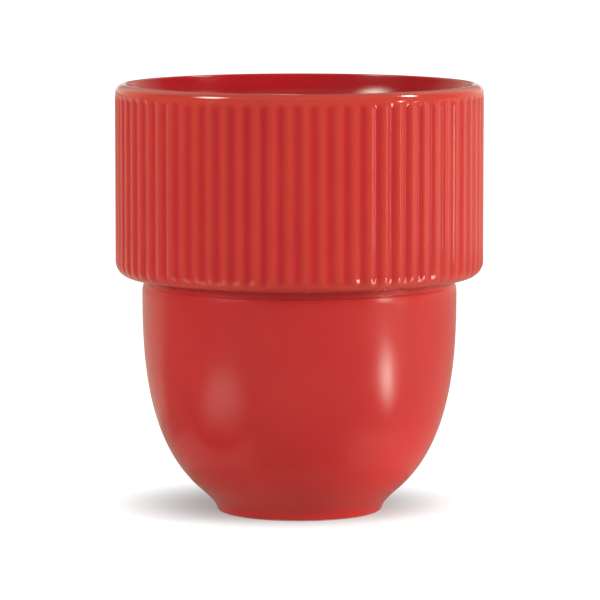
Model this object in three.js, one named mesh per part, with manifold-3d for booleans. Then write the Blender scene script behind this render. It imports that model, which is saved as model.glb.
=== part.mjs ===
// A stoneware cup without a handle. A smooth bowl on a small foot carries a wider collar with upright ribs
// and a rounded lip, and a thin skin of glaze lines the inside from the floor to just below the lip.
// Millimetres, +Z up, with the origin at the middle of the standing face.
import * as THREE from "three";
import { mergeVertices } from "three/addons/utils/BufferGeometryUtils.js";
import Module from "manifold-3d";

// Heights
const cupHeight = 100;
const collarHeight = 44.85; // from the collar's flat underside to the rim
const straightHeight = 2.55; // upright stretch of the bowl below the collar
const footHeight = 3.2; // where the bowl's curve meets the foot's wall
const ledgeThickness = 3.6; // clay between the collar's underside and the step inside
const floorThickness = 4.5; // clay over the foot's seat, at the middle of the bowl

// Widths
const bowlRadius = 36.7;
const ledgeOverhang = 6.2; // how far the collar stands out past the bowl
const footRadius = 19.1; // at the standing face
const footFlare = 20; // lean of the foot's wall, in degrees

// Walls and coats
const wallThickness = 4.2; // clay and glaze together
const footWall = 3.95;
const glazeThickness = 0.5;

// Shape of the bowl's curves: 2 is an ellipse, and more is fuller
const outerFullness = 2.7;
const innerFullness = 3.2;

// Ribs
const ribCount = 72;
const ribDepth = 0.42;
const ribRunout = 1.6; // length over which a groove starts below the lip

// Rounds and blends
const lipLand = 0.4; // flat left on top of the lip
const collarRound = 3.6; // lower outer edge of the collar
const stepFillet = 3; // corner between the step inside and the collar's wall
const stepLand = 0.4; // least flat left on the step inside
const stepRound = 1.2; // edge where the step turns down into the bowl
const footRound = 0.5; // edges of the standing face
const blendDrop = 2; // blend between foot and bowl, below and above their meeting height
const blendRise = 2.3;

// Joints between the pieces
const slip = 0.3; // clearance between clay pieces, and over the liner's edge
const bond = 0.05; // clay to glaze
const seatRebate = 0.8; // how far the bowl's shoulder reaches up into the collar's underside
const bossDrop = 0.8; // round boss under the bowl that centres the foot ring
const linerSetback = 1; // from the lip's round down to the top of the liner

// Fineness
const roundSegments = 48; // around the axis
const segmentsPerRib = 4;
const curveSteps = 9; // along a bowl's curve
const cornerSteps = 4; // round a wide edge or corner
const edgeSteps = 2; // round a small edge
const blendSteps = 3; // along each half of the foot's blend
const joinTolerance = 1e-3;

// Heights and radii that follow from those sizes
const ledgeHeight = cupHeight - collarHeight;
const springHeight = ledgeHeight - straightHeight;
const stepHeight = ledgeHeight + ledgeThickness;
const seatHeight = ledgeHeight + seatRebate;
const clayWall = wallThickness - glazeThickness - bond;
const collarRadius = bowlRadius + ledgeOverhang;
const lipRound = (wallThickness - lipLand) / 2;
const lipCentre = cupHeight - lipRound;
const linerTop = lipCentre - linerSetback;
const bowlInside = bowlRadius - clayWall;
const collarInside = collarRadius - clayWall;
const spigotRadius = bowlRadius - clayWall / 2; // the lap joint takes half of the clay wall
const collarBore = spigotRadius + slip;
const stepCorner = Math.min(stepFillet, collarInside - collarBore - stepLand);
const footBore = footRadius - footWall;
const flareSlope = Math.tan(THREE.MathUtils.degToRad(footFlare));

const wasm = await Module();
wasm.setup();

function point(radius, height) {
  return new THREE.Vector2(radius, height);
}

// Evenly spaced points of a curve that is given by a function of 0 to 1.
function trace(curve, steps) {
  return Array.from({ length: steps + 1 }, (_, i) => curve(i / steps));
}

// A circular arc in the profile's plane, between two angles in degrees.
function arc(radius, height, size, from, to, steps) {
  return trace((t) => {
    const angle = THREE.MathUtils.degToRad(THREE.MathUtils.lerp(from, to, t));
    return point(radius + size * Math.cos(angle), height + size * Math.sin(angle));
  }, steps);
}

// A bowl's curve below the height where its wall turns upright, between two angles in radians: 0 is the
// upright wall, and a quarter turn is the middle of the floor.
function bowlCurve(radius, depth, fullness, from, to, steps) {
  return trace((t) => {
    const angle = THREE.MathUtils.lerp(from, to, t);
    const out = Math.max(Math.cos(angle), 0) ** (2 / fullness);
    const down = Math.sin(angle) ** (2 / fullness);
    return point(radius * out, springHeight - depth * down);
  }, steps);
}

// A profile turned about the Z axis, with its first segment facing -Y.
function turn(profile) {
  return new THREE.LatheGeometry(profile, roundSegments).rotateX(Math.PI / 2);
}

function toSolid(geometry) {
  const bare = geometry.clone();
  bare.deleteAttribute("normal");
  bare.deleteAttribute("uv");
  const merged = mergeVertices(bare, joinTolerance);
  const vertProperties = merged.getAttribute("position").array;
  const triVerts = new Uint32Array(merged.index.array);
  return new wasm.Manifold(new wasm.Mesh({ numProp: 3, vertProperties, triVerts }));
}

function toGeometry(solid) {
  const mesh = solid.getMesh();
  const geometry = new THREE.BufferGeometry();
  geometry.setAttribute("position", new THREE.BufferAttribute(mesh.vertProperties, 3));
  geometry.setIndex(new THREE.BufferAttribute(mesh.triVerts, 1));
  geometry.computeVertexNormals();
  return geometry;
}

// The clay's inside surface, set in by an even distance: the bowl from the step's edge down to the axis.
function bowlLining(inset) {
  const size = stepRound + inset;
  const depth = springHeight - floorHeight - inset;
  return [
    ...arc(bowlInside + stepRound, stepHeight - stepRound, size, 90, 180, edgeSteps),
    ...bowlCurve(bowlInside - inset, depth, innerFullness, 0, Math.PI / 2, curveSteps),
  ];
}

// The collar's part of that surface, from the step's corner up to a given height.
function collarLining(inset, top) {
  const size = stepCorner - inset;
  return [
    ...arc(collarInside - stepCorner, stepHeight + stepCorner, size, -90, 0, cornerSteps),
    point(collarInside - inset, top),
  ];
}

// The bowl's outer curve passes through the point where the foot's wall ends.
function footWallAt(height) {
  return footRadius + flareSlope * height;
}

const meetingShare = (footWallAt(footHeight) / bowlRadius) ** outerFullness;
const bowlDepth = (springHeight - footHeight) / (1 - meetingShare) ** (1 / outerFullness);

// The blend between foot and bowl leaves the foot's wall and the bowl's curve along their own directions,
// so its middle point is where the two directions cross.
const blendBottom = footHeight - blendDrop;
const blendTop = footHeight + blendRise;
const topShare = (springHeight - blendTop) / bowlDepth;
const topOut = (1 - topShare ** outerFullness) ** (1 / outerFullness);
const topRadius = bowlRadius * topOut;
const topSlope = (bowlRadius / bowlDepth) * (topShare / topOut) ** (outerFullness - 1);
const crossing = (topRadius - topSlope * blendTop - footRadius) / (flareSlope - topSlope);
const footBlend = new THREE.QuadraticBezierCurve(
  point(footWallAt(blendBottom), blendBottom),
  point(footWallAt(crossing), crossing),
  point(topRadius, blendTop),
);
const seam = footBlend.getPoint(0.5); // the foot ring ends half way along the blend
const floorHeight = seam.y + floorThickness;

// Bowl: the lower body, with a boss for the foot ring below and a spigot for the collar above.
function makeBowl() {
  const topAngle = Math.asin(topShare ** (outerFullness / 2));
  return turn([
    point(0, seam.y - bossDrop),
    point(footBore - slip, seam.y - bossDrop),
    point(footBore - slip, seam.y),
    ...trace((t) => footBlend.getPoint((1 + t) / 2), blendSteps).slice(0, -1),
    ...bowlCurve(bowlRadius, bowlDepth, outerFullness, topAngle, 0, curveSteps),
    point(bowlRadius, seatHeight),
    point(spigotRadius, seatHeight),
    point(spigotRadius, stepHeight),
    ...bowlLining(0),
  ]);
}

// Foot ring: it sits flat under the bowl, around the boss, and the cup stands on its lower face.
function makeFootRing() {
  const lean = THREE.MathUtils.degToRad(footFlare);
  const roundCentre = footWallAt(footRound) - footRound / Math.cos(lean);
  const inner = arc(footBore + footRound, footRound, footRound, 180, 270, edgeSteps);
  return turn([
    ...inner,
    ...arc(roundCentre, footRound, footRound, -90, -footFlare, edgeSteps),
    ...trace((t) => footBlend.getPoint(t / 2), blendSteps),
    point(footBore, seam.y),
    inner[0],
  ]);
}

// Ribbed collar: a drum with grooves all round it, bored to sit over the spigot and rest on the bowl's
// shoulder. A groove keeps its depth all the way down, so it runs out on the collar's lower round.
function makeRibbedCollar() {
  const drum = new THREE.LatheGeometry(
    [
      point(0, ledgeHeight),
      ...arc(collarRadius - collarRound, ledgeHeight + collarRound, collarRound, -90, 0, cornerSteps),
      point(collarRadius, lipCentre - ribRunout),
      ...arc(collarRadius - lipRound, lipCentre, lipRound, 0, 90, edgeSteps),
      point(0, cupHeight),
    ],
    ribCount * segmentsPerRib,
  );
  const position = drum.getAttribute("position");
  for (let i = 0; i < position.count; i++) {
    const radius = Math.hypot(position.getX(i), position.getZ(i));
    const turned = Math.atan2(position.getX(i), position.getZ(i));
    const wave = (1 - Math.cos(ribCount * turned)) / 2;
    const start = THREE.MathUtils.clamp((lipCentre - position.getY(i)) / ribRunout, 0, 1);
    const limit = collarRadius - ribDepth * wave * start;
    if (radius > limit) {
      position.setX(i, (position.getX(i) * limit) / radius);
      position.setZ(i, (position.getZ(i) * limit) / radius);
    }
  }
  const lipInside = collarRadius - wallThickness;
  const bore = turn([
    point(0, ledgeHeight - ledgeThickness),
    point(bowlRadius + slip, ledgeHeight - ledgeThickness),
    point(bowlRadius + slip, seatHeight),
    point(collarBore, seatHeight),
    point(collarBore, stepHeight),
    ...collarLining(0, linerTop + slip),
    point(lipInside, linerTop + slip),
    ...arc(lipInside + lipRound, lipCentre, lipRound, 180, 90, cornerSteps),
    point(lipInside + lipRound, cupHeight + lipRound),
    point(0, cupHeight + lipRound),
  ]);
  return toGeometry(toSolid(drum.rotateX(Math.PI / 2)).subtract(toSolid(bore)));
}

// Glaze liner: one unbroken skin over the bowl's inside, the lap joint and the collar's wall.
function makeGlazeLiner() {
  const face = bond + glazeThickness;
  return turn([
    ...bowlLining(bond).reverse(),
    ...collarLining(bond, linerTop),
    ...collarLining(face, linerTop).reverse(),
    ...bowlLining(face),
  ]);
}

function glaze(color, roughness) {
  return new THREE.MeshStandardMaterial({ color, roughness, metalness: 0 });
}

function piece(name, geometry, material) {
  const mesh = new THREE.Mesh(geometry, material);
  mesh.name = name;
  return mesh;
}

const cup = new THREE.Group();
cup.name = "ribbed_cup";
cup.add(
  piece("bowl", makeBowl(), glaze(0xb8352f, 0.4)),
  piece("ribbed_collar", makeRibbedCollar(), glaze(0xbe362f, 0.2)),
  piece("foot_ring", makeFootRing(), glaze(0xb8352f, 0.45)),
  piece("glaze_liner", makeGlazeLiner(), glaze(0xa01c22, 0.12)),
);

export default cup;
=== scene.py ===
# A red glazed stoneware cup with a ribbed collar, on a pale studio floor
import math

import bmesh
import bpy
from mathutils import Matrix, Vector
from mathutils.geometry import interpolate_bezier


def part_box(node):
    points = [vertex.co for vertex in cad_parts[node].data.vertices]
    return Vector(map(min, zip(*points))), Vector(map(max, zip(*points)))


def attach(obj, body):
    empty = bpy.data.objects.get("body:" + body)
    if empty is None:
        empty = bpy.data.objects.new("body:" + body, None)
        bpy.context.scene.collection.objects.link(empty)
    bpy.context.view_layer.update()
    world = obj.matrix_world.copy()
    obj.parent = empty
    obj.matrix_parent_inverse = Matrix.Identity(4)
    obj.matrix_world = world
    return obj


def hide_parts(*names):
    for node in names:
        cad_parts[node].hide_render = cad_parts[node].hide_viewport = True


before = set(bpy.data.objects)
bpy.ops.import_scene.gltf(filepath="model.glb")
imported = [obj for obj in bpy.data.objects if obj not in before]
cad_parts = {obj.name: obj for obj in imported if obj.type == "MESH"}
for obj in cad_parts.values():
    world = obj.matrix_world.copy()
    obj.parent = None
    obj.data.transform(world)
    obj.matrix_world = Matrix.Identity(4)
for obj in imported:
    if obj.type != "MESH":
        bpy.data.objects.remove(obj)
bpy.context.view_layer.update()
mm = 0.001

# how the pieces meet, which their boxes don't tell
jointPlan = {
    "wall": 4.2 * mm,  # clay and glaze together
    "bond": 0.05 * mm,  # between the clay and the glaze inside
    "seat": 0.8 * mm,  # the bowl's shoulder is hidden this far up in the collar
    "spigot": 1.8 * mm,  # half of the clay wall carries on up inside the collar
    "upright": 2.55 * mm,  # below the collar, where the bowl's wall starts to curve in
}

# main sizes of the cup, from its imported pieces
collarLow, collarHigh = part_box("ribbed_collar")
bowlLow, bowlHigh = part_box("bowl")
linerLow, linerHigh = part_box("glaze_liner")
rimHeight = collarHigh.z
ledgeHeight = collarLow.z
stepHeight = bowlHigh.z  # clay step inside, between bowl and collar
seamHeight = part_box("foot_ring")[1].z  # where the foot ring ends under the bowl
seatHeight = ledgeHeight + jointPlan["seat"]
springHeight = ledgeHeight - jointPlan["upright"]
collarRadius = collarHigh.x
bowlRadius = bowlHigh.x
spigotRadius = bowlRadius - jointPlan["spigot"]
bowlInside = bowlRadius - jointPlan["wall"]
glazeThickness = linerHigh.x - (collarRadius - jointPlan["wall"])


# drawing and turning profiles
mergeDistance = 0.002 * mm
sharpAngle = 40  # degrees, past which an edge stays sharp


def ellipseArc(centre, reach, start, stop, steps, fullness=2.0):
    # from one angle to another in degrees, where 0 points out and 90 up; over 2 is fuller than an ellipse
    points = []
    for i in range(steps + 1):
        angle = math.radians(start + (stop - start) * i / steps)
        out = math.copysign(abs(math.cos(angle)) ** (2 / fullness), math.cos(angle))
        up = math.copysign(abs(math.sin(angle)) ** (2 / fullness), math.sin(angle))
        points.append((centre[0] + reach[0] * out, centre[1] + reach[1] * up))
    return points


def roundArc(centre, radius, start, stop, steps):
    return ellipseArc(centre, (radius, radius), start, stop, steps)


def chainArcs(points, arcs):
    # each arc (radius, start, stop, steps) goes on from where the one before it ends
    for arc in arcs:
        curve = roundArc((0, 0), *arc)
        last = points[-1]
        points += [(last[0] + p[0] - curve[0][0], last[1] + p[1] - curve[0][1]) for p in curve[1:]]
    return points


def straightWall(radius, low, high, steps):
    # even steps up from one height to just before the other
    return [(radius, low + (high - low) * i / steps) for i in range(steps)]


def drawWire(bm, points, closed=False):
    # points are (radius, height), drawn in the half plane that faces -Y
    verts = [bm.verts.new((0, -radius, height)) for radius, height in points]
    ends = verts[1:] + (verts[:1] if closed else [])
    for pair in zip(verts, ends):
        bm.edges.new(pair)
    return verts


def roundCorner(bm, vert, size, segments):
    bmesh.ops.bevel(bm, geom=[vert], offset=size, offset_type="OFFSET", affect="VERTICES",
                    segments=segments, profile=0.5, material=-1)


def turnWire(bm, steps):
    bmesh.ops.spin(bm, geom=bm.verts[:] + bm.edges[:], cent=(0, 0, 0), axis=(0, 0, 1),
                   angle=math.tau, steps=steps, use_merge=True)
    bmesh.ops.remove_doubles(bm, verts=bm.verts[:], dist=mergeDistance)
    bmesh.ops.recalc_face_normals(bm, faces=bm.faces[:])


def addObject(name, data):
    thing = bpy.data.objects.new(name, data)
    bpy.context.scene.collection.objects.link(thing)
    return thing


def addMesh(name, bm, material):
    mesh = bpy.data.meshes.new(name)
    bm.to_mesh(mesh)
    bm.free()
    mesh.materials.append(material)
    return addObject(name, mesh)


def finishPiece(name, bm, node, material):
    piece = addMesh(name, bm, material)
    piece.data.shade_smooth()
    piece.data.set_sharp_from_angle(angle=math.radians(sharpAngle))
    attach(piece, "root")
    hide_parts(node)
    print("made", name, "with", len(piece.data.polygons), "faces")


# nodes for the finishes
noiseLow, noiseHigh = 0.3, 0.7  # most of a noise lies between these


def newGroup(name, inputs, outputs):
    group = bpy.data.node_groups.new(name, "ShaderNodeTree")
    for label, kind, value in inputs:
        socket = group.interface.new_socket(name=label, in_out="INPUT", socket_type=kind)
        socket.default_value = value
    for label, kind in outputs:
        group.interface.new_socket(name=label, in_out="OUTPUT", socket_type=kind)
    return group, group.nodes.new("NodeGroupInput"), group.nodes.new("NodeGroupOutput")


def newMaterial(name):
    material = bpy.data.materials.new(name)
    material.use_nodes = True
    tree = material.node_tree
    return material, tree, tree.nodes["Principled BSDF"]


def addNode(tree, kind, values=None, **settings):
    node = tree.nodes.new(kind)
    for label, value in settings.items():
        setattr(node, label, value)
    for socket, value in (values or {}).items():
        node.inputs[socket].default_value = value
    return node


def link(tree, source, socket):
    # a number or colour is set on the socket itself, and another node's output is linked to it
    if isinstance(source, (int, float, tuple)):
        socket.default_value = source
    else:
        tree.links.new(source, socket)


def objectPosition(tree):
    return addNode(tree, "ShaderNodeTexCoord").outputs["Object"]


def splitPosition(tree, position):
    parts = addNode(tree, "ShaderNodeSeparateXYZ")
    link(tree, position, parts.inputs["Vector"])
    return parts.outputs


def fromAxis(tree, position):
    # distance from the upright axis
    flat = addNode(tree, "ShaderNodeVectorMath", {1: (1, 1, 0)}, operation="MULTIPLY")
    link(tree, position, flat.inputs[0])
    length = addNode(tree, "ShaderNodeVectorMath", operation="LENGTH")
    link(tree, flat.outputs["Vector"], length.inputs[0])
    return length.outputs["Value"]


def addNoise(tree, place, scale, detail=2, rough=0.5):
    node = addNode(tree, "ShaderNodeTexNoise", {"Scale": scale, "Detail": detail, "Roughness": rough})
    link(tree, place, node.inputs["Vector"])
    return node.outputs["Fac"]


def mapValue(tree, value, fromLow, fromHigh, toLow, toHigh, smooth=False):
    node = addNode(tree, "ShaderNodeMapRange", {
        "From Min": fromLow, "From Max": fromHigh, "To Min": toLow, "To Max": toHigh})
    node.interpolation_type = "SMOOTHSTEP" if smooth else "LINEAR"
    link(tree, value, node.inputs["Value"])
    return node.outputs["Result"]


def doMath(tree, operation, first, second):
    node = addNode(tree, "ShaderNodeMath", operation=operation)
    link(tree, first, node.inputs[0])
    link(tree, second, node.inputs[1])
    return node.outputs["Value"]


def mixColours(tree, factor, first, second):
    node = addNode(tree, "ShaderNodeMix", data_type="RGBA")
    for label, value in (("Factor", factor), ("A", first), ("B", second)):
        link(tree, value, node.inputs[label])
    return node.outputs["Result"]


def addBump(tree, shader, height, distance):
    bump = addNode(tree, "ShaderNodeBump", {"Strength": 1, "Distance": distance})
    link(tree, height, bump.inputs["Height"])
    link(tree, bump.outputs["Normal"], shader.inputs["Normal"])


# fired glaze, which all four pieces share: cloudy colour, uneven gloss and a faint orange peel
firedPlan = {
    "cloudScale": 70,
    "cloudDetail": 4,
    "speckScale": 420,  # pin-head specks where the clay's iron shows through
    "speckEdge": (0.05, 0.13),
    "patchScale": 260,  # only a few of them show, where these patches are
    "patchDetail": 1,
    "patchEdge": (0.6, 0.68),
    "speckStrength": 0.3,
    "speckColour": (0.2, 0.008, 0.008, 1),
    "glossScale": 190,
    "glossDetail": 5,
    "glossBreakup": 0.6,
    "peelScale": 330,
    "grainScale": 1500,  # fine grain on top of the peel
    "grainShare": 0.25,
}


def makeFiredGlaze(plan):
    group, given, result = newGroup(
        "firedGlaze",
        [("Position", "NodeSocketVector", (0, 0, 0)),
         ("Thin Colour", "NodeSocketColor", (0.6, 0.04, 0.03, 1)),
         ("Thick Colour", "NodeSocketColor", (0.5, 0.02, 0.02, 1)),
         ("Thickness", "NodeSocketFloat", 0.5),
         ("Cloudiness", "NodeSocketFloat", 0.3),
         ("Gloss Low", "NodeSocketFloat", 0.15),
         ("Gloss High", "NodeSocketFloat", 0.25)],
        [("Colour", "NodeSocketColor"), ("Roughness", "NodeSocketFloat"), ("Height", "NodeSocketFloat")])
    place = given.outputs["Position"]
    # colour, by how thick the glaze lies; on the collar it also paints shade into the grooves
    billows = addNoise(group, place, plan["cloudScale"], plan["cloudDetail"])
    clouds = mapValue(group, billows, noiseLow, noiseHigh, -0.5, 0.5)
    drift = doMath(group, "MULTIPLY", clouds, given.outputs["Cloudiness"])
    thick = doMath(group, "ADD", given.outputs["Thickness"], drift)
    colour = mixColours(group, thick, given.outputs["Thin Colour"], given.outputs["Thick Colour"])
    specks = addNode(group, "ShaderNodeTexVoronoi", {"Scale": plan["speckScale"]})
    link(group, place, specks.inputs["Vector"])
    dots = mapValue(group, specks.outputs["Distance"], *plan["speckEdge"], 1, 0, smooth=True)
    patches = addNoise(group, place, plan["patchScale"], plan["patchDetail"])
    rare = mapValue(group, patches, *plan["patchEdge"], 0, plan["speckStrength"], smooth=True)
    colour = mixColours(group, doMath(group, "MULTIPLY", dots, rare), colour, plan["speckColour"])
    link(group, colour, result.inputs["Colour"])
    # gloss, uneven between its two limits
    breakup = addNoise(group, place, plan["glossScale"], plan["glossDetail"], plan["glossBreakup"])
    uneven = mapValue(group, breakup, noiseLow, noiseHigh, 0, 1)
    span = doMath(group, "SUBTRACT", given.outputs["Gloss High"], given.outputs["Gloss Low"])
    gloss = doMath(group, "ADD", given.outputs["Gloss Low"], doMath(group, "MULTIPLY", uneven, span))
    link(group, gloss, result.inputs["Roughness"])
    # orange peel
    peel = addNoise(group, place, plan["peelScale"])
    grain = doMath(group, "MULTIPLY", addNoise(group, place, plan["grainScale"]), plan["grainShare"])
    link(group, doMath(group, "ADD", peel, grain), result.inputs["Height"])
    return group


firedGlaze = makeFiredGlaze(firedPlan)


def addGlaze(tree, position, plan):
    glaze = addNode(tree, "ShaderNodeGroup", node_tree=firedGlaze)
    link(tree, position, glaze.inputs["Position"])
    for label, key in (("Thin Colour", "thin"), ("Thick Colour", "thick")):
        glaze.inputs[label].default_value = (*plan[key], 1)
    for label, key in (("Cloudiness", "clouds"), ("Gloss Low", "roughLow"), ("Gloss High", "roughHigh")):
        glaze.inputs[label].default_value = plan[key]
    return glaze


def wearGlaze(tree, shader, glaze, plan):
    link(tree, glaze.outputs["Colour"], shader.inputs["Base Color"])
    link(tree, glaze.outputs["Roughness"], shader.inputs["Roughness"])
    addBump(tree, shader, glaze.outputs["Height"], plan["peel"])


def makePlainGlaze(name, plan):
    material, tree, shader = newMaterial(name)
    wearGlaze(tree, shader, addGlaze(tree, objectPosition(tree), plan), plan)
    return material


# ribbed collar
collarPlan = {
    "ribs": 72,
    "ribDepth": 0.42 * mm,
    "pointsPerRib": 12,
    "skin": 0.1 * mm,  # what lies deeper than this in the wall isn't pressed
    "grooveTop": 1.9 * mm,  # below the rim, where the grooves start to fade in
    "grooveTip": 1.7 * mm,  # length over which they reach their depth
    "tipSteps": 10,
    "wallSteps": 4,
    "grooveTail": 2.6 * mm,  # length over which they run out again
    "grooveEnd": 0.5 * mm,  # above the collar's underside, where they are gone
    "underRound": 3.6 * mm,
    "underSteps": 20,
    "lipRound": 2.1 * mm,
    "lipSteps": 12,
    "lipTopRound": 0.5 * mm,  # inner edge of the rim
    "lipTopSteps": 8,
    "flareTop": 10,  # lean of the lip's hollow flare inside, in degrees, at its top and bottom
    "flareBottom": 28,
    "flareRadius": 14 * mm,
    "flareSteps": 16,
    "flareRound": 2.0 * mm,  # where the flare turns down into the wall
    "flareRoundSteps": 10,
    "clayChamfer": 2.5 * mm,  # in the clay's corner behind the glaze inside
    # crest and groove colours: the darker groove colour is partly real glaze pooling and partly painted
    # shade
    "thin": (0.59, 0.050, 0.034),
    "thick": (0.52, 0.022, 0.026),
    "clouds": 0.25,
    "roughLow": 0.07,
    "roughHigh": 0.12,
    # the liner's deeper red that the rim fades to is painted shade of the cup's hollow
    "insideFade": 0.6 * mm,  # width inside the rim's top over which the glaze deepens to the liner's red
    "insideEnd": 2 * mm,  # below the liner's edge, where that red ends in the hidden clay
    "underSatin": 0.18,  # the glaze runs thin on the lower round, and is less glossy there
    "satinHeight": 1.5 * mm,  # above the underside, where it starts to turn glossy
    "peel": 0.012 * mm,
}


def drawLip(plan):
    # from the top of the rim down the inside
    top, bottom = plan["flareTop"], plan["flareBottom"]
    points = [(collarRadius - plan["lipRound"], rimHeight)]
    return chainArcs(points, ((plan["lipTopRound"], 90, 180 - top, plan["lipTopSteps"]),
                              (plan["flareRadius"], -top, -bottom, plan["flareSteps"]),
                              (plan["flareRound"], 180 - bottom, 180, plan["flareRoundSteps"])))


lipInside = drawLip(collarPlan)
lipPoints = [p for p in lipInside if p[1] >= linerHigh.z]  # the lip ends where the liner starts
linerPoints = [p for p in lipInside if p[1] < linerHigh.z]
lipSeam = lipPoints[-1]
innerRadius, lipFoot = lipInside[-1]
print("collar wall", round((collarRadius - innerRadius) / mm, 2), "mm thick,",
      "lip", round((rimHeight - lipFoot) / mm, 2), "mm tall")


def makeCollarGlaze(plan):
    material, tree, shader = newMaterial("collarGlossGlaze")
    position = objectPosition(tree)
    height = splitPosition(tree, position)["Z"]
    glaze = addGlaze(tree, position, plan)
    # glaze runs off the crests and gathers in the grooves, and the darker groove colour is also painted
    # shade in the grooves
    pressed = addNode(tree, "ShaderNodeAttribute", attribute_name="pressed")
    link(tree, pressed.outputs["Fac"], glaze.inputs["Thickness"])
    # inside the rim it takes on the liner's deeper red, which is painted shade of the cup's hollow, and on
    # the lower round it is satin
    rimTop = collarRadius - plan["lipRound"]
    radius = fromAxis(tree, position)
    inwards = mapValue(tree, radius, rimTop, rimTop - plan["insideFade"], 0, 1, smooth=True)
    end = lipSeam[1] - plan["insideEnd"]
    above = mapValue(tree, height, end, end + plan["insideEnd"] / 2, 0, 1)
    inside = doMath(tree, "MULTIPLY", inwards, above)
    under = mapValue(tree, height, ledgeHeight + plan["satinHeight"], ledgeHeight + plan["underRound"],
                     plan["underSatin"], 0, smooth=True)
    for label, key in (("Thin Colour", "thin"), ("Thick Colour", "thick")):
        blend = mixColours(tree, inside, (*plan[key], 1), (*linerPlan[key], 1))
        link(tree, blend, glaze.inputs[label])
    for label, key in (("Gloss Low", "roughLow"), ("Gloss High", "roughHigh")):
        gloss = mapValue(tree, inside, 0, 1, plan[key], linerPlan[key])
        link(tree, doMath(tree, "ADD", gloss, under), glaze.inputs[label])
    wearGlaze(tree, shader, glaze, plan)
    return material


def easeIn(share):
    share = min(max(share, 0), 1)
    return share * share * (3 - 2 * share)


def pressRibs(bm, plan):
    grooveTop = rimHeight - plan["grooveTop"]
    grooveEnd = ledgeHeight + plan["grooveEnd"]
    roundTop = ledgeHeight + plan["underRound"]
    pressed = bm.verts.layers.float.new("pressed")  # 1 at the bottom of a groove
    for vert in bm.verts:
        radius = vert.co.xy.length
        if radius < collarRadius - (plan["underRound"] if vert.co.z < roundTop else plan["skin"]):
            continue  # inside the collar
        turned = math.atan2(vert.co.x, -vert.co.y)
        wave = (1 - math.cos(plan["ribs"] * turned)) / 2  # 0 on a crest, 1 in a groove
        start = easeIn((grooveTop - vert.co.z) / plan["grooveTip"])
        end = easeIn((vert.co.z - grooveEnd) / plan["grooveTail"])
        vert[pressed] = wave * start * end
        vert.co.xy *= 1 - plan["ribDepth"] * vert[pressed] / radius


def makeCollar(plan):
    bm = bmesh.new()
    underRound, lipRound = plan["underRound"], plan["lipRound"]
    roundTop = ledgeHeight + underRound
    lipBase = rimHeight - lipRound
    grooveFull = rimHeight - plan["grooveTop"] - plan["grooveTip"]
    neckRadius = neckPoints[-1][0]
    backRadius = innerRadius + glazeThickness
    outline = [
        (neckRadius, ledgeHeight),
        *roundArc((collarRadius - underRound, roundTop), underRound, -90, 0, plan["underSteps"]),
        *straightWall(collarRadius, roundTop, grooveFull, plan["wallSteps"])[1:],
        *straightWall(collarRadius, grooveFull, lipBase, plan["tipSteps"]),
        *roundArc((collarRadius - lipRound, lipBase), lipRound, 0, 90, plan["lipSteps"]),
        *lipPoints[1:],
        (lipSeam[0] + glazeThickness, lipSeam[1]),
        (backRadius, lipFoot),
        (backRadius, stepHeight + plan["clayChamfer"]),
        (backRadius - plan["clayChamfer"], stepHeight),
        (spigotRadius, stepHeight),
        (spigotRadius, seatHeight),
        (neckRadius, seatHeight),
    ]
    drawWire(bm, outline, closed=True)
    turnWire(bm, plan["ribs"] * plan["pointsPerRib"])
    pressRibs(bm, plan)
    finishPiece("ribbed_collar_glazed", bm, "ribbed_collar", makeCollarGlaze(plan))


# bowl and foot ring, which wear the same satin glaze
satinGlaze = {
    "thin": (0.57, 0.036, 0.029),
    "thick": (0.515, 0.021, 0.023),
    "clouds": 0.45,
    "roughLow": 0.2,
    "roughHigh": 0.27,
    "peel": 0.02 * mm,
}
bowlPlan = {
    "fullness": 2.7,
    "depth": 53.69 * mm,  # of its curve, from where the wall turns upright
    "curveSteps": 60,
    "shoulder": 3.8 * mm,  # below the collar, where the wall starts to draw in to a shallow neck
    "shoulderEase": 8 * mm,  # it eases off the upright first, then turns over a smaller round
    "easeLean": 12,
    "shoulderRound": 0.8 * mm,
    "shoulderLean": 30,
    "neckRound": 0.9 * mm,
    "neckSteps": 10,
    "neckGap": 0.1 * mm,  # least step between the curve's last point and the neck
    "innerFullness": 3.2,
    "innerSteps": 32,
    "innerEdge": 1.2 * mm,  # clay edge of the step inside, behind the glaze
    "turns": 240,
    **satinGlaze,
}
footPlan = {
    "radius": 19.1 * mm,  # at the standing face
    "lean": 20,  # degrees from upright
    "wall": 3.95 * mm,
    "edgeRound": 0.5 * mm,
    "edgeSteps": 6,
    "blendLow": 1.2 * mm,  # the foot's wall sweeps into the bowl between these heights
    "blendHigh": 5.5 * mm,
    "blendCount": 25,  # points along that sweep
    "recess": 0.4 * mm,  # how far the bottom inside the ring is domed up
    "recessFrom": 80,  # degrees up the dome, where its smallest ring is
    "recessSteps": 10,
    "turns": 240,
    **satinGlaze,
    "clay": (0.62, 0.50, 0.38),
    "clayShade": 0.8,  # its sand is this share as bright
    "clayRough": 0.85,
    "sandScale": 1400,
    "sandDetail": 3,
    "sandBreakup": 0.7,
    "sandEdge": (0.35, 0.65),
    "glazeEdge": 0.22 * mm,  # the glaze stops this far above the standing face
    "edgeBlur": 0.05 * mm,
    "edgeWaver": 0.08 * mm,  # it goes up and down by this much
    "waverScale": 240,
}
ringInside = footPlan["radius"] - footPlan["wall"]


def bowlAt(height):
    down = (springHeight - height) / bowlPlan["depth"]
    return bowlRadius * (1 - down ** bowlPlan["fullness"]) ** (1 / bowlPlan["fullness"])


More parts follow.
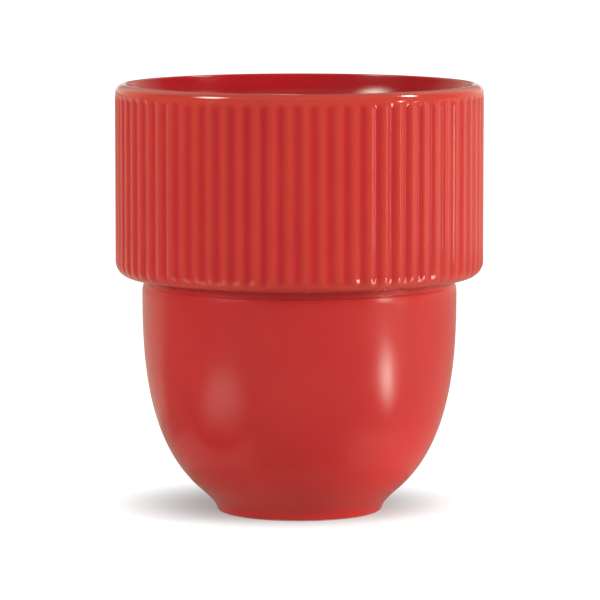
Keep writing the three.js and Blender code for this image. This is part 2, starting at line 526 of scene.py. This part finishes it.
def footBlend(plan):
    # leaves the foot's wall and the bowl's curve along their own directions
    slope = math.tan(math.radians(plan["lean"]))
    low = Vector((plan["radius"] + slope * plan["blendLow"], plan["blendLow"]))
    high = Vector((bowlAt(plan["blendHigh"]), plan["blendHigh"]))
    rise = 0.01 * mm  # a short way up, to read the bowl's slope
    highSlope = (bowlAt(high.y + rise) - high.x) / rise
    meetHeight = (high.x - highSlope * high.y - plan["radius"]) / (slope - highSlope)
    meet = Vector((plan["radius"] + slope * meetHeight, meetHeight))
    reach = 2 / 3  # handles this far towards the meeting point make a parabola
    points = interpolate_bezier(low, low.lerp(meet, reach), high.lerp(meet, reach), high, plan["blendCount"])
    return [(p.x, p.y) for p in points]


def drawNeck(plan):
    # round over the shoulder and back up into the corner under the collar
    ease, lean, steps = plan["easeLean"], plan["shoulderLean"], plan["neckSteps"]
    points = [(bowlRadius, ledgeHeight - plan["shoulder"])]
    return chainArcs(points, ((plan["shoulderEase"], 0, ease, steps),
                              (plan["shoulderRound"], ease, lean, steps),
                              (plan["neckRound"], 180 + lean, 180, steps)))


blendPoints = footBlend(footPlan)
blendMiddle = len(blendPoints) // 2  # the foot ring ends half way along
neckPoints = drawNeck(bowlPlan)


def makeBowl(plan):
    bm = bmesh.new()
    share = (springHeight - footPlan["blendHigh"]) / plan["depth"]
    start = -math.degrees(math.asin(share ** (plan["fullness"] / 2)))
    spring = (0, springHeight)
    curve = ellipseArc(spring, (bowlRadius, plan["depth"]), start, 0, plan["curveSteps"], plan["fullness"])
    curveTop = neckPoints[0][1] - plan["neckGap"]
    clayInside = bowlInside + glazeThickness
    hollow = (clayInside, springHeight - linerLow.z)
    dome = (ringInside, footPlan["recess"])
    outline = [
        (0, bowlLow.z + footPlan["recess"]),
        *ellipseArc((0, bowlLow.z), dome, footPlan["recessFrom"], 0, footPlan["recessSteps"]),
        (ringInside, seamHeight),
        *blendPoints[blendMiddle:],
        *[p for p in curve[1:] if p[1] < curveTop],
        *neckPoints,
        (neckPoints[-1][0], seatHeight),
        (spigotRadius, seatHeight),
        (spigotRadius, stepHeight),
        (clayInside + plan["innerEdge"], stepHeight),
        *ellipseArc(spring, hollow, 0, -90, plan["innerSteps"], plan["innerFullness"]),
    ]
    drawWire(bm, outline)
    turnWire(bm, plan["turns"])
    finishPiece("bowl_glazed", bm, "bowl", makePlainGlaze("bowlSatinGlaze", plan))


def makeFootFinish(plan):
    material, tree, shader = newMaterial("footGlazeAndClay")
    position = objectPosition(tree)
    glaze = addGlaze(tree, position, plan)
    # the glaze was wiped off the standing face, along a slightly wavy edge
    wander = addNoise(tree, position, plan["waverScale"])
    waver = mapValue(tree, wander, noiseLow, noiseHigh, -plan["edgeWaver"], plan["edgeWaver"])
    edge = doMath(tree, "ADD", splitPosition(tree, position)["Z"], waver)
    low, high = plan["glazeEdge"] - plan["edgeBlur"], plan["glazeEdge"] + plan["edgeBlur"]
    glazed = mapValue(tree, edge, low, high, 0, 1, smooth=True)
    # sandy clay shows below it
    grains = addNoise(tree, position, plan["sandScale"], plan["sandDetail"], plan["sandBreakup"])
    sand = mapValue(tree, grains, *plan["sandEdge"], 0, 1)
    shaded = tuple(plan["clayShade"] * c for c in plan["clay"])
    clay = mixColours(tree, sand, (*plan["clay"], 1), (*shaded, 1))
    link(tree, mixColours(tree, glazed, clay, glaze.outputs["Colour"]), shader.inputs["Base Color"])
    rough = addNode(tree, "ShaderNodeMix", {"A": plan["clayRough"]}, data_type="FLOAT")
    link(tree, glazed, rough.inputs["Factor"])
    link(tree, glaze.outputs["Roughness"], rough.inputs["B"])
    link(tree, rough.outputs["Result"], shader.inputs["Roughness"])
    grit = doMath(tree, "MULTIPLY", sand, doMath(tree, "SUBTRACT", 1, glazed))
    addBump(tree, shader, doMath(tree, "ADD", glaze.outputs["Height"], grit), plan["peel"])
    return material


def makeFoot(plan):
    bm = bmesh.new()
    outline = [
        (ringInside, 0),
        (plan["radius"], 0),
        *blendPoints[:blendMiddle + 1],
        (ringInside, seamHeight),
    ]
    corners = drawWire(bm, outline, closed=True)
    for vert in corners[:2]:
        roundCorner(bm, vert, plan["edgeRound"], plan["edgeSteps"])
    turnWire(bm, plan["turns"])
    finishPiece("foot_ring_glazed", bm, "foot_ring", makeFootFinish(plan))


# glaze inside
linerPlan = {
    "bowlSteps": 40,
    "stepRound": 1.75 * mm,
    "stepRoundSteps": 10,
    "stepFillet": 2.45 * mm,
    "stepFilletSteps": 12,
    "wallSteps": 8,
    "turns": 360,
    # deeper, darker red than the same glaze outside: painted shade of the cup's hollow
    "thin": (0.48, 0.006, 0.013),
    "thick": (0.41, 0.004, 0.011),
    "clouds": 0.3,
    "roughLow": 0.17,
    "roughHigh": 0.22,
    "peel": 0.01 * mm,
}


def makeLiner(plan):
    bm = bmesh.new()
    rounding, fillet = plan["stepRound"], plan["stepFillet"]
    floorFace = linerLow.z + glazeThickness
    stepFace = stepHeight + jointPlan["bond"] + glazeThickness
    hollow = (bowlInside, springHeight - floorFace)
    outline = [
        *ellipseArc((0, springHeight), hollow, -90, 0, plan["bowlSteps"], bowlPlan["innerFullness"]),
        *roundArc((bowlInside + rounding, stepFace - rounding), rounding, 180, 90, plan["stepRoundSteps"]),
        *roundArc((innerRadius - fillet, stepFace + fillet), fillet, -90, 0, plan["stepFilletSteps"]),
        *straightWall(innerRadius, stepFace + fillet, lipFoot, plan["wallSteps"])[1:],
        *reversed(linerPoints),
        lipSeam,
    ]
    drawWire(bm, outline)
    turnWire(bm, plan["turns"])
    lowest = min(bm.faces, key=lambda tile: tile.calc_center_median().z)
    if lowest.normal.z < 0:  # the glazed side faces the drink
        bmesh.ops.reverse_faces(bm, faces=bm.faces[:])
    bmesh.ops.solidify(bm, geom=bm.faces[:], thickness=glazeThickness)
    material = makePlainGlaze("linerGlossGlaze", plan)
    finishPiece("glaze_liner_gloss", bm, "glaze_liner", material)


makeCollar(collarPlan)
makeBowl(bowlPlan)
makeFoot(footPlan)
makeLiner(linerPlan)


# camera at the photo's place, in metres, degrees and millimetres of lens
cameraPlan = {
    "distance": 1.0564,
    "elevation": 6.133,
    "azimuth": -1.8,  # a crest stands a little to the right of the middle
    "aimHeight": 49.33 * mm,
    "lens": 271.2,
    "sensor": 36,
    "shiftX": 0.001,
}


def around(azimuth, elevation, distance, height):
    # azimuth 0 is the viewer's side, and grows to the viewer's right
    turn, rise = math.radians(azimuth), math.radians(elevation)
    reach = distance * math.cos(rise)
    return Vector((reach * math.sin(turn), -reach * math.cos(turn), height + distance * math.sin(rise)))


def aimAt(thing, height):
    # turns a camera or lamp to a height on the axis
    towards = Vector((0, 0, height)) - thing.location
    thing.rotation_euler = towards.to_track_quat("-Z", "Y").to_euler()


def makeCamera(plan):
    data = bpy.data.cameras.new("photoCamera")
    data.lens = plan["lens"]
    data.sensor_width = plan["sensor"]
    data.shift_x = plan["shiftX"]
    camera = addObject("photoCamera", data)
    camera.location = around(plan["azimuth"], plan["elevation"], plan["distance"], plan["aimHeight"])
    aimAt(camera, plan["aimHeight"])
    bpy.context.scene.camera = camera
    print("camera placed")


# studio: soft boxes that light the cup, a white room, a floor, and cards and screens that only show in the
# glaze; azimuths are from the camera's side
studioPlan = {
    "boxes": {
        "rightBox": {"azimuth": 68, "elevation": 16, "distance": 0.6, "aim": 49 * mm, "size": (0.11, 0.2),
                     "power": 2.5, "colour": (1.0, 0.97, 0.93)},
        "leftBox": {"azimuth": -56, "elevation": 18, "distance": 0.6, "aim": 49 * mm, "size": (0.33, 0.18),
                    "power": 1.74, "colour": (1.0, 0.98, 0.96)},
        "rightFill": {"azimuth": 62, "elevation": 0, "distance": 0.05, "aim": 4 * mm, "size": (0.04, 0.006),
                      "power": 0.0025, "colour": (1.0, 0.97, 0.93)},
    },
    "room": 0.37,  # how bright the white room is to the cup
    "floorSize": 6,
    "floorTiles": 8,
    "floorRough": 0.9,
    "floorBounce": 0.82,  # how pale the floor is to the light, and to the eye
    "floorColour": 0.3,
    "shadowCore": 0.27,  # the floor's own glow under the cup
    "shadowStart": 16 * mm,  # from the cup's axis, where the contact shadow is deepest and where it ends
    "shadowEnd": 50 * mm,
    "shadowShift": (-2.8 * mm, 9 * mm, 0),  # it lies a little to the left and back
    # each card lies between two ends, given as azimuth, elevation and distance from a height on the axis
    "cards": {
        "rightCard": {"ends": ((84, 39, 0.5), (110, 54, 0.5)), "height": rimHeight,
                      "width": 0.085, "strength": 44},
        "leftCard": {"ends": ((-60, 34, 0.5), (-85, 57, 0.5)), "height": rimHeight,
                     "width": 0.2, "strength": 20},
        "rightLow": {"ends": ((63, -4, 0.5), (63, 11, 0.5)), "height": rimHeight,
                     "width": 0.05, "strength": 34},
        "leftLow": {"ends": ((-54, -4, 0.5), (-54, 11, 0.5)), "height": rimHeight,
                    "width": 0.06, "strength": 2.3},
        "rightPool": {"ends": ((61, 0, 0.07), (61, 0, 0.27)), "height": 1 * mm,
                      "width": 0.032, "strength": 21.5},
        "leftPool": {"ends": ((-52, 0, 0.045), (-52, 0, 0.19)), "height": 1 * mm,
                     "width": 0.085, "strength": 1.9},
    },
    "cardColour": (0.8, 1.0, 0.85),
    "cardSides": 48,
    "cardFade": 0.1,  # share of its width from the middle, where a card starts to fade
    # outlines that the screens are turned from, as radius and height
    "outlines": {
        "footFloor": ((0.0194, 0.0003), (0.036, 0.0003)),
        "nearFloor": ((0.036, 0.0003), (0.1, 0.0003)),
        "frontFloor": ((0.06, 0.0005), (0.6, 0.0005)),
        "openFloor": ((0.1, 0.0005), (0.6, 0.0005)),
        "skirt": ((0.6, 0.0), (0.6, 0.11)),
        "line": ((0.58, 0.0), (0.58, 0.11)),
        "wall": ((0.6, 0.11), (0.6, 0.9)),
        "farWall": ((0.6, 0.17), (0.6, 0.9)),
        "frontWall": ((0.6, 0.0), (0.6, 0.75)),
        "frontTop": ((0.6, 0.75), (0.6, 0.9)),
        "ceiling": ((0.002, 0.9), (0.6, 0.9)),
    },
    # each screen reaches from one azimuth to another, and a pair of strengths is blended between them
    "screens": {
        "frontFloor": {"outline": "frontFloor", "azimuths": (-113, 55), "strength": 0.18},
        "rightFloor": {"outline": "openFloor", "azimuths": (55, 180), "strength": 0.5},
        "leftFloor": {"outline": "openFloor", "azimuths": (180, 247), "strength": 0.7},
        "nearFloor": {"outline": "footFloor", "azimuths": (-180, 180), "strength": 0.3},
        "nearFront": {"outline": "nearFloor", "azimuths": (-30, 30), "strength": 0.15},
        "nearSides": {"outline": "nearFloor", "azimuths": (30, 330), "strength": 0.45},
        "frontWall": {"outline": "frontWall", "azimuths": (-113, 55), "strength": 0.18},
        "frontTop": {"outline": "frontTop", "azimuths": (-113, 55), "strength": 0.7},
        "rightWall": {"outline": "wall", "azimuths": (55, 115), "strength": 0.18},
        "rightSkirt": {"outline": "skirt", "azimuths": (55, 96), "strength": 0.35},
        "rightLine": {"outline": "line", "azimuths": (73, 77), "strength": 5},
        "rightStrip": {"outline": "skirt", "azimuths": (96, 110), "strength": 0.9},
        "rightHem": {"outline": "skirt", "azimuths": (110, 166), "strength": 0.72},
        "rightBack": {"outline": "wall", "azimuths": (115, 150), "strength": (0.5, 1.1)},
        "farRight": {"outline": "farWall", "azimuths": (150, 180), "strength": (1.1, 0.05)},
        "leftSkirt": {"outline": "skirt", "azimuths": (-165, -113), "strength": 0.55},
        "leftBack": {"outline": "wall", "azimuths": (-150, -113), "strength": (1.1, 0.5)},
        "farLeft": {"outline": "farWall", "azimuths": (-180, -150), "strength": (0.05, 1.1)},
        "ceiling": {"outline": "ceiling", "azimuths": (-180, 180), "strength": 0.5},
    },
    "screenColour": (1.0, 0.9, 0.72),
    "screenSteps": 48,
}


def makeBox(name, plan):
    light = bpy.data.lights.new(name, "AREA")
    light.shape = "RECTANGLE"
    light.size, light.size_y = plan["size"]
    light.energy = plan["power"]
    light.color = plan["colour"]
    box = addObject(name, light)
    azimuth = plan["azimuth"] + cameraPlan["azimuth"]
    box.location = around(azimuth, plan["elevation"], plan["distance"], plan["aim"])
    aimAt(box, plan["aim"])
    box.visible_camera = False
    box.visible_glossy = False  # the cards stand in for it in the glaze


def addReflection(name, bm, colour):
    # a glowing surface that only reflections see
    material, tree, shader = newMaterial(name)
    shader.inputs["Base Color"].default_value = (0, 0, 0, 1)
    shader.inputs["Specular IOR Level"].default_value = 0
    shader.inputs["Emission Color"].default_value = (*colour, 1)
    surface = addMesh(name, bm, material)
    surface.visible_camera = False
    surface.visible_diffuse = False
    surface.visible_transmission = False
    surface.visible_shadow = False
    return surface, tree, shader.inputs["Emission Strength"]


def makeCard(name, plan):
    low, high = (around(azimuth + cameraPlan["azimuth"], elevation, distance, plan["height"])
                 for azimuth, elevation, distance in plan["ends"])
    size = (plan["width"], (high - low).length, 1)
    edge = 0.5  # radius of the round that is drawn out to that size
    bm = bmesh.new()
    bmesh.ops.create_circle(bm, cap_ends=True, segments=studioPlan["cardSides"], radius=edge)
    bmesh.ops.scale(bm, vec=size, verts=bm.verts[:])
    card, tree, glow = addReflection(name, bm, studioPlan["cardColour"])
    card.location = (low + high) / 2
    along = (high - low).normalized()
    facing = Vector((0, 0, plan["height"])) - card.location
    if plan["height"] < rimHeight / 2:  # lies on the floor
        facing = Vector((0, 0, 1))
    side = along.cross(facing).normalized()
    card.rotation_euler = Matrix((side, along, side.cross(along))).transposed().to_euler()
    # it fades out towards its edge
    shrink = addNode(tree, "ShaderNodeVectorMath", {1: size}, operation="DIVIDE")
    link(tree, objectPosition(tree), shrink.inputs[0])
    radius = fromAxis(tree, shrink.outputs["Vector"])
    link(tree, mapValue(tree, radius, studioPlan["cardFade"], edge, plan["strength"], 0, smooth=True), glow)


def makeScreen(name, plan):
    # dim screens around the cup keep the glaze's colour deep
    bm = bmesh.new()
    drawWire(bm, studioPlan["outlines"][plan["outline"]])
    low, high = (math.radians(azimuth + cameraPlan["azimuth"]) for azimuth in plan["azimuths"])
    bmesh.ops.rotate(bm, cent=(0, 0, 0), matrix=Matrix.Rotation(low, 3, "Z"), verts=bm.verts[:])
    bmesh.ops.spin(bm, geom=bm.verts[:] + bm.edges[:], cent=(0, 0, 0), axis=(0, 0, 1),
                   angle=high - low, steps=studioPlan["screenSteps"])
    tree, glow = addReflection(name, bm, studioPlan["screenColour"])[1:]
    if isinstance(plan["strength"], tuple):
        parts = splitPosition(tree, objectPosition(tree))
        turned = doMath(tree, "ARCTAN2", parts["X"], doMath(tree, "MULTIPLY", parts["Y"], -1))
        link(tree, mapValue(tree, turned, low, high, *plan["strength"]), glow)
    else:
        glow.default_value = plan["strength"]


def seenDirectly(tree):
    # 1 for what the camera, a reflection or clear glass sees, 0 for what lights the cup
    rays = addNode(tree, "ShaderNodeLightPath").outputs
    seen = doMath(tree, "MAXIMUM", rays["Is Camera Ray"], rays["Is Glossy Ray"])
    return doMath(tree, "MAXIMUM", seen, rays["Is Transmission Ray"])


def makeRoom(plan):
    world = bpy.data.worlds.new("whiteRoom")
    world.use_nodes = True
    bpy.context.scene.world = world
    tree = world.node_tree
    strength = mapValue(tree, seenDirectly(tree), 0, 1, plan["room"], 1)
    link(tree, strength, tree.nodes["Background"].inputs["Strength"])
    tree.nodes["Background"].inputs["Color"].default_value = (1, 1, 1, 1)


def makeFloor(plan):
    bm = bmesh.new()
    tiles = plan["floorTiles"]
    bmesh.ops.create_grid(bm, x_segments=tiles, y_segments=tiles, size=plan["floorSize"])
    material, tree, shader = newMaterial("paleFloor")
    shader.inputs["Roughness"].default_value = plan["floorRough"]
    shader.inputs["Specular IOR Level"].default_value = 0
    shader.inputs["Emission Color"].default_value = (1, 1, 1, 1)
    shifted = addNode(tree, "ShaderNodeVectorMath", {1: plan["shadowShift"]}, operation="SUBTRACT")
    link(tree, objectPosition(tree), shifted.inputs[0])
    radius = fromAxis(tree, shifted.outputs["Vector"])
    start, end = plan["shadowStart"], plan["shadowEnd"]
    # the glow is lowered around the cup's foot, a painted contact shadow on top of the floor's real one
    glow = mapValue(tree, radius, start, end, plan["shadowCore"], 1, smooth=True)
    seen = seenDirectly(tree)
    link(tree, doMath(tree, "MULTIPLY", glow, seen), shader.inputs["Emission Strength"])
    pale = mapValue(tree, seen, 0, 1, plan["floorBounce"], plan["floorColour"])
    link(tree, pale, shader.inputs["Base Color"])
    addMesh("floor", bm, material)


makeCamera(cameraPlan)
for boxName, boxPlan in studioPlan["boxes"].items():
    makeBox(boxName, boxPlan)
for cardName, cardPlan in studioPlan["cards"].items():
    makeCard(cardName, cardPlan)
for screenName, screenPlan in studioPlan["screens"].items():
    makeScreen(screenName, screenPlan)
makeRoom(studioPlan)
makeFloor(studioPlan)
bpy.context.scene.view_settings.view_transform = "Standard"
print("studio lit")
